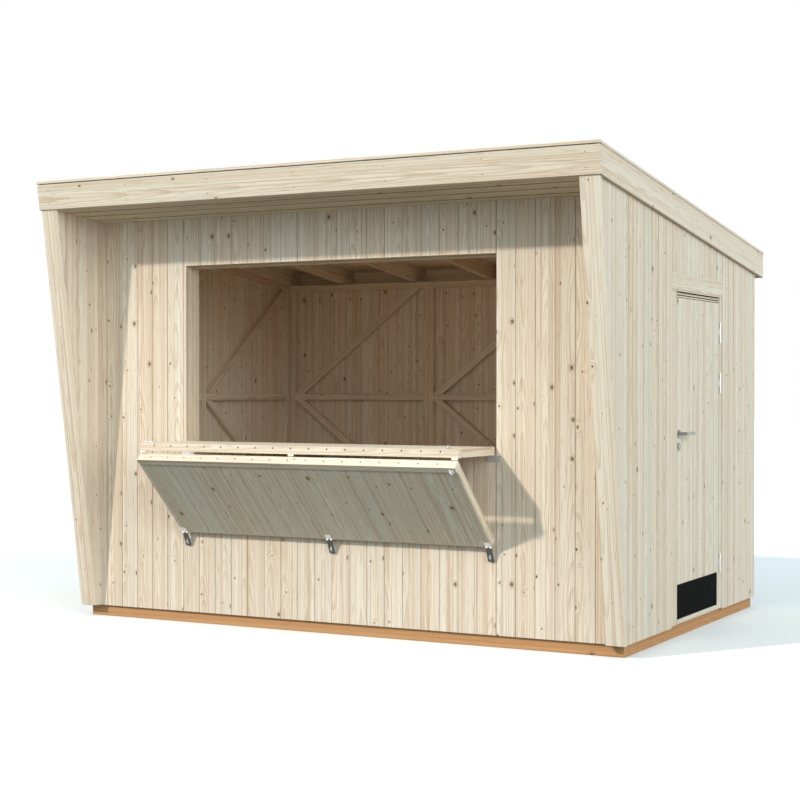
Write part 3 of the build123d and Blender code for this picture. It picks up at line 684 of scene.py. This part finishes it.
def wings():
    """Boards of both side wings, cut along the roof, the leaning front board and the fascia."""
    start = -1.64
    width = 0.46
    spare_top = 2.70
    soffit_drop = 0.126
    behind_board = ((0, FRONT - WING_FOOT + SKIN / cos(atan(WING_LEAN)), CLADDING_FOOT),
                    Vector(LEAN).normalized())
    behind_fascia = ((0, ROOF_EDGE_Y + 0.047, 2.5), LEAN)
    rows = []
    for sign in (1, -1):
        for face_x, toward, drop in ((WING_OUTER, 1, DECK), (WING_INNER, -1, soffit_drop)):
            mesh = boards(width, SIDE_BOARD, (FRONT - start) % SIDE_BOARD, SKIN, CLADDING_FOOT, spare_top)
            if toward * sign > 0:
                place = place_from((sign * face_x, start, 0), (0, 1, 0))
            else:
                place = place_from((sign * face_x, start + width, 0), (0, -1, 0))
            rows.append((mesh, place, [roof_cut(drop), behind_board, behind_fascia]))
    place_boards("wing_boarding", "cabin", "cladding_boards", ["wing_boards"], rows)


def build_timbers():
    """Square timbers and trim, each with eased edges and its own grain."""
    timbers("base_long_timbers", "cabin", IMPREGNATED, "impregnated_timber", "base_long_beams", edge=0.003)
    timbers("base_cross_timbers", "cabin", IMPREGNATED, "impregnated_timber", "base_cross_beams", edge=0.003)
    for name in ("wall_studs", "wall_rails", "wall_braces", "rafters", "door_frame"):
        timbers(name + "_timber", "cabin", FRAMING, "framing_timber", name)
    timbers("opening_stops_timber", "cabin", STOPS, "framing_timber", "opening_stops")
    for name in ("wing_front_boards", "front_fascia", "side_fascias", "rear_fascia", "roof_trim",
                 "door_casings"):
        timbers(name + "_timber", "cabin", TRIM, "planed_trim", name, edge=0.002)


def sloping_rows(name, node, material, pieces, groove):
    """Boards along X laid side by side down the roof's slope."""
    slope = Vector((0, 1, -ROOF_SLOPE)).normalized()
    rows = []
    for y0, y1, top_drop, thickness, cuts, half in pieces:
        top = Vector((0, y0, roof_top(y0) - top_drop))
        under = top - ROOF_UP * thickness
        row = boards((y1 - y0) / slope.y, SIDE_BOARD, 0.0, thickness, -half, half, groove=groove)
        rows.append((row, place_from(under, slope, (1, 0, 0)), cuts))
    place_boards(name, "cabin", "roof_boards", [node], rows, material)


def build_decks():
    """Boarded roof deck, the soffits under both eaves, and the floor."""
    spare = 0.01
    low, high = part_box("roof_deck")
    edge_cut = ((0, ROOF_EDGE_Y + 0.0225, ROOF_EDGE_Z), LEAN)
    sloping_rows("roof_deck_boards", "roof_deck", CLADDING,
                 [(low.y - spare, high.y, 0.0, 0.0178, [edge_cut], high.x)], 0.002)
    low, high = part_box("soffits")
    play = 0.0005
    drop = 0.1265
    thickness = 0.0185
    edge_cut = ((0, ROOF_EDGE_Y + 0.0425, 2.534), LEAN)
    sloping_rows("soffit_boards", "soffits", SOFFIT,
                 [(low.y - spare, FRONT - SKIN - play, drop, thickness, [edge_cut], high.x),
                  (REAR + SKIN + play, high.y, drop, thickness, [], high.x)], 0.0075)
    low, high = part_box("floor")
    row = boards(high.y - low.y, SIDE_BOARD, 0.0, high.z - low.z, low.x, high.x, groove=0.001)
    place = place_from((0, high.y, high.z), (0, -1, 0), (1, 0, 0))
    place_boards("floor_boarding", "cabin", "framing_timber", ["floor"], [(row, place, [])], FRAMING)


def roof_sheets():
    """Roofing felt in three sheets along the eave, each tucked under the lower edge of the one above it."""
    sheets = 3
    lap = 0.09
    low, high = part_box("roof_felt")
    thick = high.z - roof_top(low.y)
    run = (high.y - low.y) / sheets
    bm = bmesh.new()
    for i in range(sheets):
        start = low.y + i * run - (lap if i else 0.0)
        end = low.y + (i + 1) * run
        head = thick * 0.5 if i else thick
        corners = [bm.verts.new((x, y, roof_top(y) + lift))
                   for at_start, at_end in ((0.0, 0.0), (head, thick))
                   for x, y, lift in ((low.x, start, at_start), (high.x, start, at_start),
                                      (high.x, end, at_end), (low.x, end, at_end))]
        for quad in ((3, 2, 1, 0), (4, 5, 6, 7), (0, 1, 5, 4), (1, 2, 6, 5), (2, 3, 7, 6), (3, 0, 4, 7)):
            bm.faces.new([corners[k] for k in quad])
    mesh = to_mesh(bm, "felt_sheets")
    keep(add_object("felt_sheets", mesh), "cabin", FELT, "roofing_felt", "roof_felt")


# Hatch
def leaf_rows(pin, along, inward, length, thick, phase, set_back=0.0, lip=0.0):
    """Boards of both faces of a hatch leaf, let in between its end rails."""
    width = 2 * LEAF_HALF
    u0 = PIN_OFFSET + LEAF_RAIL
    outer = pin + along * u0 + inward * PIN_OFFSET
    inner = pin + along * u0 + inward * (PIN_OFFSET + thick - set_back)
    outer_span = length - 2 * LEAF_RAIL
    inner_span = length - LEAF_RAIL - (lip or LEAF_RAIL)
    inner_phase = (width - phase) % FRONT_BOARD
    rows = []
    for corner, start, across, span, first in ((outer, -LEAF_HALF, 1, outer_span, phase),
                                               (inner, LEAF_HALF, -1, inner_span, inner_phase)):
        row = boards(width, FRONT_BOARD, first, LEAF_BOARD, 0.0, span, groove=0.0009)
        rows.append((row, place_from(corner + Vector((start, 0, 0)), (across, 0, 0), along), []))
    return rows


def leaf_bars(name, body, node, pin, along, inward, length, thick, set_back=0.0, lip=0.0):
    """End rails and stiles of a hatch leaf."""
    place = Matrix.Translation(pin) @ Matrix((Vector((1, 0, 0)), along, inward)).transposed().to_4x4()
    u0 = PIN_OFFSET
    u1 = PIN_OFFSET + length
    v0 = PIN_OFFSET
    v1 = PIN_OFFSET + thick
    board_bed = 0.0151
    overlap = 0.001
    under = v1 - board_bed - set_back
    boxes = [((-LEAF_HALF, u0, v0), (LEAF_HALF, u0 + LEAF_RAIL, v1)),
             ((-LEAF_HALF, u1 - LEAF_RAIL, v0), (LEAF_HALF, u1, under if lip else v1))]
    if lip:
        boxes.append(((-LEAF_HALF, u1 - lip, under - overlap), (LEAF_HALF, u1, v1 - set_back)))
    for i in range(LEAF_STILES):
        x = -LEAF_HALF + i * (2 * LEAF_HALF - LEAF_STILE) / (LEAF_STILES - 1)
        boxes.append(((x, u0 + LEAF_RAIL, v0 + board_bed), (x + LEAF_STILE, u1 - LEAF_RAIL, under)))
    bars(name, body, TRIM, "hatch_timber", [node], boxes, place, 0.0012)


def build_hatch():
    """Boarded faces and end rails of the counter and of the leaf under it."""
    phase = front_phase(-LEAF_HALF)
    counter = (COUNTER_PIN, COUNTER_ALONG, COUNTER_IN, COUNTER_DEPTH, COUNTER_THICK)
    flap = (FLAP_PIN, FLAP_ALONG, FLAP_IN, FLAP_LENGTH, FLAP_THICK)
    rows = leaf_rows(*counter, phase)
    place_boards("counter_skins", "counter", "hatch_timber", ["counter_boards"], rows, HATCH)
    rows = leaf_rows(*flap, phase, FLAP_SET_BACK, FLAP_LIP)
    place_boards("flap_skins", "flap", "hatch_timber", ["flap_boards"], rows, HATCH)
    leaf_bars("counter_bars", "counter", "counter_frame", *counter)
    leaf_bars("flap_bars", "flap", "flap_frame", *flap, FLAP_SET_BACK, FLAP_LIP)


# Door
def build_door():
    """Door leaf: boards on both faces of a framed core."""
    low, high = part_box("door_leaf")
    width = high.y - low.y
    pitch = width / DOOR_BOARDS
    core_foot = 0.097
    outer = boards(width, pitch, 0.0, DOOR_SKIN, low.z, high.z, groove=0.0026)
    inner = boards(width, pitch, 0.0, DOOR_SKIN, core_foot, high.z, groove=0.0026)
    rows = [(outer, place_from((high.x, low.y, 0), (0, 1, 0)), []),
            (inner, place_from((low.x, high.y, 0), (0, -1, 0)), [])]
    place_boards("door_leaf_boards", "door", "cladding_boards", ["door_leaf"], rows)
    stile = 0.07
    rail = 0.12
    skin_bed = 0.0121
    play = 0.0002
    x0 = low.x + skin_bed
    x1 = high.x - skin_bed
    y0 = low.y + stile
    y1 = high.y - stile
    boxes = [((x0, low.y, core_foot), (x1, y0, high.z)), ((x0, y1, core_foot), (x1, high.y, high.z))]
    for z0, z1 in ((core_foot, core_foot + rail), (0.97, 1.09), (high.z - rail, high.z)):
        boxes.append(((x0, y0 + play, z0), (x1, y1 - play, z1)))
    bars("door_core_bars", "door", FRAMING, "framing_timber", [], boxes, Matrix.Identity(4), 0.001)


def door_strips():
    """Weather strip along the foot of the door, and dark bars between the strips over it, as painted shadow
    in the gaps there.
    """
    low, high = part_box("door_leaf")
    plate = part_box("door_kick_panel")[0]
    foot = [((high.x - 0.0005, low.y + 0.002, low.z + 0.001),
             (high.x + 0.004, high.y - 0.002, plate.z - 0.001))]
    bars("door_foot_strip", "door", TRIM, "planed_trim", [], foot, Matrix.Identity(4), 0.001)
    # painted shadow: thin dark bars in the gaps under the casing and between the strips over the door
    shadow_heights = ((1.9495, 1.9535), (1.9625, 1.9665), (1.9785, 1.9835))
    boxes = [((SIDE, low.y - 0.005, z0), (SIDE + 0.0035, high.y + 0.005, z1)) for z0, z1 in shadow_heights]
    bars("door_head_gap_shadows", "cabin", GAP_SHADOW, "roofing_felt", [], boxes, Matrix.Identity(4), 0.0006)


# Nails, screws and small bolts
def heads(name, body, slot, places, radius, rise, finish):
    """One piece of nail or screw heads from (point, outward direction) pairs."""
    mesh = bpy.data.meshes.new(name)
    mesh.from_pydata([tuple(point) for point, _ in places], [], [])
    layer = mesh.attributes.new("outward", "FLOAT_VECTOR", "POINT")
    layer.data.foreach_set("vector", [c for _, way in places for c in way])
    obj = add_object(name, mesh)
    modifier = obj.modifiers.new("heads", "NODES")
    modifier.node_group = HEADS
    set_inputs(modifier, Radius=radius, Rise=rise, Finish=finish)
    return keep(add_object(name, applied(obj, name)), body, finish, slot)


def hatch_fixings():
    """A nail through each rail into every board, and the screws of the hinges and hasps."""
    places = [-0.9394 + i * FRONT_BOARD for i in range(17)]
    end = COUNTER_PIN + COUNTER_ALONG * (PIN_OFFSET + COUNTER_DEPTH)
    front = [(Vector((x, end.y, COUNTER_TOP - 0.013)), COUNTER_ALONG) for x in places]
    heads("counter_nails", "counter", "galvanised_steel", front, 0.0048, 0.0005, NAIL)
    edge = FLAP_PIN + FLAP_ALONG * PIN_OFFSET + FLAP_IN * (PIN_OFFSET + FLAP_THICK / 2)
    top = [(edge + Vector((x - 0.005, 0, 0)), -FLAP_ALONG) for x in places]
    heads("flap_nails", "flap", "galvanised_steel", top, 0.0044, 0.0005, NAIL)
    plate_y = FRONT - SKIN - HINGE_PLATE
    plates = [(Vector((centre + shift, plate_y, 1.038)), COUNTER_ALONG)
              for centre in (-1.025, 0.0, 1.025) for shift in (-0.03, 0.03)]
    heads("wall_hinge_screws", "cabin", "galvanised_steel", plates, 0.0042, 0.0012, ZINC)
    face = (FLAP_PIN + FLAP_ALONG * (PIN_OFFSET + FLAP_LENGTH - 0.022)
            + FLAP_IN * (PIN_OFFSET + FLAP_THICK - FLAP_SET_BACK + HASP_PLATE))
    hasps = [(face + Vector((centre + shift, 0, 0)), FLAP_IN)
             for centre in (-1.015, 0.0, 1.015) for shift in (-0.010, 0.010)]
    heads("hasp_screws", "flap", "galvanised_steel", hasps, 0.0034, 0.0010, ZINC)


def door_fixings():
    """Screws of the door hinges and the kick panel, and nails of the casings."""
    out = Vector((1, 0, 0))
    hinge_y = 0.4235
    plate_x = SIDE + SKIN - DOOR_RECESS + HINGE_PLATE
    hinges = [(Vector((plate_x, hinge_y + 0.0105, z + shift)), out)
              for z in (0.358, 1.459, 1.768) for shift in (-0.042, 0.042)]
    heads("door_hinge_screws", "cabin", "galvanised_steel", hinges, 0.0032, 0.0010, ZINC)
    inset = 0.012
    low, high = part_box("door_kick_panel")
    panel = [(Vector((high.x, y, z)), out)
             for y in (low.y + inset, (low.y + high.y) / 2, high.y - inset)
             for z in (low.z + inset, high.z - inset)]
    heads("kick_panel_screws", "door", "black_plate", panel, 0.0035, 0.0010, BLACK)
    low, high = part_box("door_casings")
    nails = [(Vector((SIDE + SKIN - DOOR_RECESS, low.y + 0.02, float(z))), out)
             for z in np.linspace(0.2, 1.9, 7)]
    nails += [(Vector((SIDE + SKIN, float(y), 2.035)), out)
              for y in np.linspace(low.y + 0.04, high.y - 0.04, 5)]
    heads("casing_nails", "cabin", "galvanised_steel", nails, 0.0028, 0.0004, NAIL)


def fascia_nails():
    """Nails along the fascias and the wings' front boards."""
    lean = Vector(LEAN).normalized()
    places = []
    for i in range(7):
        for drop in (0.035, 0.115):
            y = ROOF_EDGE_Y + WING_LEAN * drop
            places.append((Vector((-1.74 + i * 0.58, y, ROOF_EDGE_Z - drop)), lean))
    for sign in (-1, 1):
        for i in range(5):
            z = 0.3 + i * 0.5
            y = FRONT - WING_FOOT - WING_LEAN * (z - CLADDING_FOOT)
            places.append((Vector((sign * WING_MIDDLE, y, z)), lean))
    heads("fascia_nails", "cabin", "galvanised_steel", places, 0.003, 0.0005, NAIL)


def bolt_piece(name, body, centre, along, up, length=0.06, throw=0.014):
    """Small barrel bolt: a plate, a round bolt in two clips and its knob."""
    place = Matrix.Translation(centre) @ Matrix((along, up.cross(along), up)).transposed().to_4x4()
    lie_down = Matrix.Rotation(radians(90), 4, "Y")
    half = length / 2
    start = -half - 0.004
    end = half + throw
    bm = bmesh.new()
    add_box(bm, place, (-half, -0.014, 0.0), (half, 0.014, 0.0018))
    for x in (-half + 0.010, half - 0.010):
        add_box(bm, place, (x - 0.004, -0.0085, 0.0015), (x + 0.004, 0.0085, 0.0125))
    rod = Matrix.Translation(Vector(((start + end) / 2, 0, 0.0070))) @ lie_down
    bmesh.ops.create_cone(bm, cap_ends=True, segments=14, radius1=0.0042, radius2=0.0042,
                          depth=abs(end - start), matrix=place @ rod)
    knob = Matrix.Translation(Vector((0.004, 0, 0.013)))
    bmesh.ops.create_cone(bm, cap_ends=True, segments=12, radius1=0.0032, radius2=0.0042,
                          depth=0.014, matrix=place @ knob)
    bmesh.ops.recalc_face_normals(bm, faces=bm.faces)
    return keep(eased(bm, name, 0.0005), body, ZINC, "galvanised_steel")


def hatch_bolts():
    """Barrel bolts of the hatch: two on the counter's top, and a short one on the flap."""
    top = Vector((0, 0, 1))
    left = Vector((-0.99, -1.611, COUNTER_TOP))
    right = Vector((0.955, -1.600, COUNTER_TOP))
    face = FLAP_PIN + FLAP_ALONG * (PIN_OFFSET + 0.028) + FLAP_IN * (PIN_OFFSET + FLAP_THICK)
    bolt_piece("counter_bolt_left", "counter", left, Vector((-1, 0, 0)), top)
    bolt_piece("counter_bolt_right", "counter", right, Vector((0, -1, 0)), top, length=0.05)
    bolt_piece("flap_bolt", "flap", face + Vector((1.005, 0, 0)), -FLAP_ALONG, FLAP_IN, length=0.026,
               throw=0.002)


def repaint(material, *nodes):
    """Give CAD nodes whose shape is right a better material."""
    for node in nodes:
        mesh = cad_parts[node].data
        mesh.materials.clear()
        mesh.materials.append(material)


# Floor, light, camera
def seen_by(tree, *kinds):
    """1 for a camera ray and for the other kinds of ray named, 0 for light that falls on the object."""
    seen = tree.node("ShaderNodeLightPath", None, out="Is Camera Ray")
    for kind in kinds:
        seen = seen.most(tree.node("ShaderNodeLightPath", None, out=f"Is {kind} Ray"))
    return seen


def ground():
    """Wide floor that looks white and throws little light back on the object."""
    material = bpy.data.materials.new("pale_floor")
    material.use_nodes = True
    material.node_tree.nodes.clear()
    t = Tree(material.node_tree)
    colour = t.mix(seen_by(t, "Glossy"), (0.078, 0.088, 0.08), (0.98, 0.98, 0.98))
    diffuse = t.node("ShaderNodeBsdfDiffuse", None, colour, 0.0)
    t.put(t.tree.nodes.new("ShaderNodeOutputMaterial").inputs[0], diffuse)
    mesh = bpy.data.meshes.new("ground")
    r = 60.0
    mesh.from_pydata([(-r, -r, 0), (r, -r, 0), (r, r, 0), (-r, r, 0)], [], [(0, 1, 2, 3)])
    mesh.materials.append(material)
    add_object("ground", mesh)


def sky():
    """Soft sky light behind a white backdrop."""
    world = bpy.data.worlds.new("pale_sky")
    bpy.context.scene.world = world
    world.use_nodes = True
    world.node_tree.nodes.clear()
    t = Tree(world.node_tree)
    light = t.node("ShaderNodeBackground", None, (0.79, 0.945, 1.0, 1), 0.75)
    white = t.node("ShaderNodeBackground", None, (1, 1, 1, 1), 1.0)
    both = t.node("ShaderNodeMixShader", None, seen_by(t, "Glossy", "Transmission"), light, white)
    t.put(t.tree.nodes.new("ShaderNodeOutputWorld").inputs[0], both)


def add_lamp(name, kind, energy, colour, travel):
    """Lamp whose light travels in a direction."""
    lamp = add_object(name, bpy.data.lights.new(name, kind))
    lamp.data.energy = energy
    lamp.data.color = colour
    lamp.rotation_euler = Vector(travel).to_track_quat("-Z", "Y").to_euler()
    return lamp


def lamps():
    """Low sun from the left, soft fill on the door side, and light that reaches the inside."""
    key = add_lamp("key", "SUN", 2.16, (1.0, 0.925, 0.85), (0.426, 0.723, -0.5425))
    key.data.angle = radians(2.6)
    fill = add_lamp("fill", "SUN", 1.97, (0.91, 0.985, 1.0), (-0.85, 0.40, -0.34))
    fill.data.angle = radians(50)
    inside = add_lamp("inside_glow", "AREA", 3.1, (1.0, 0.77, 0.55), (0, 1, -0.55))
    inside.data.shape = "RECTANGLE"
    inside.data.size = 3.0
    inside.data.size_y = 0.5
    inside.location = (0, -0.75, 2.1)


def camera():
    """Camera recovered from the photo; its distance is counted in heights over the ground."""
    height = 1.44
    focal = 1654
    picture = 800
    sensor = 36
    data = bpy.data.cameras.new("camera")
    data.sensor_width = sensor
    data.lens = sensor * focal / picture
    data.clip_end = 200
    view = add_object("camera", data)
    view.location = (SIDE + 2.156 * height, FRONT - 5.746 * height, height)
    view.rotation_euler = (radians(90 - 0.4746), 0, radians(28.31))
    bpy.context.scene.camera = view
    bpy.context.scene.view_settings.view_transform = "Standard"


cladding()
wings()
build_timbers()
build_hatch()
build_decks()
build_door()
door_strips()
hatch_fixings()
door_fixings()
fascia_nails()
hatch_bolts()
roof_sheets()
repaint(ZINC, "wall_hinge_plates", "counter_hinge_plates", "flap_hinge_plates", "hasp_plates", "hasp_staples",
        "door_hinges_fixed", "door_hinges_moving")
repaint(SHADED_ZINC, "left_hasp", "middle_hasp", "right_hasp")
repaint(BLACK, "door_kick_panel")
repaint(SATIN, "door_furniture")
ground()
sky()
lamps()
camera()
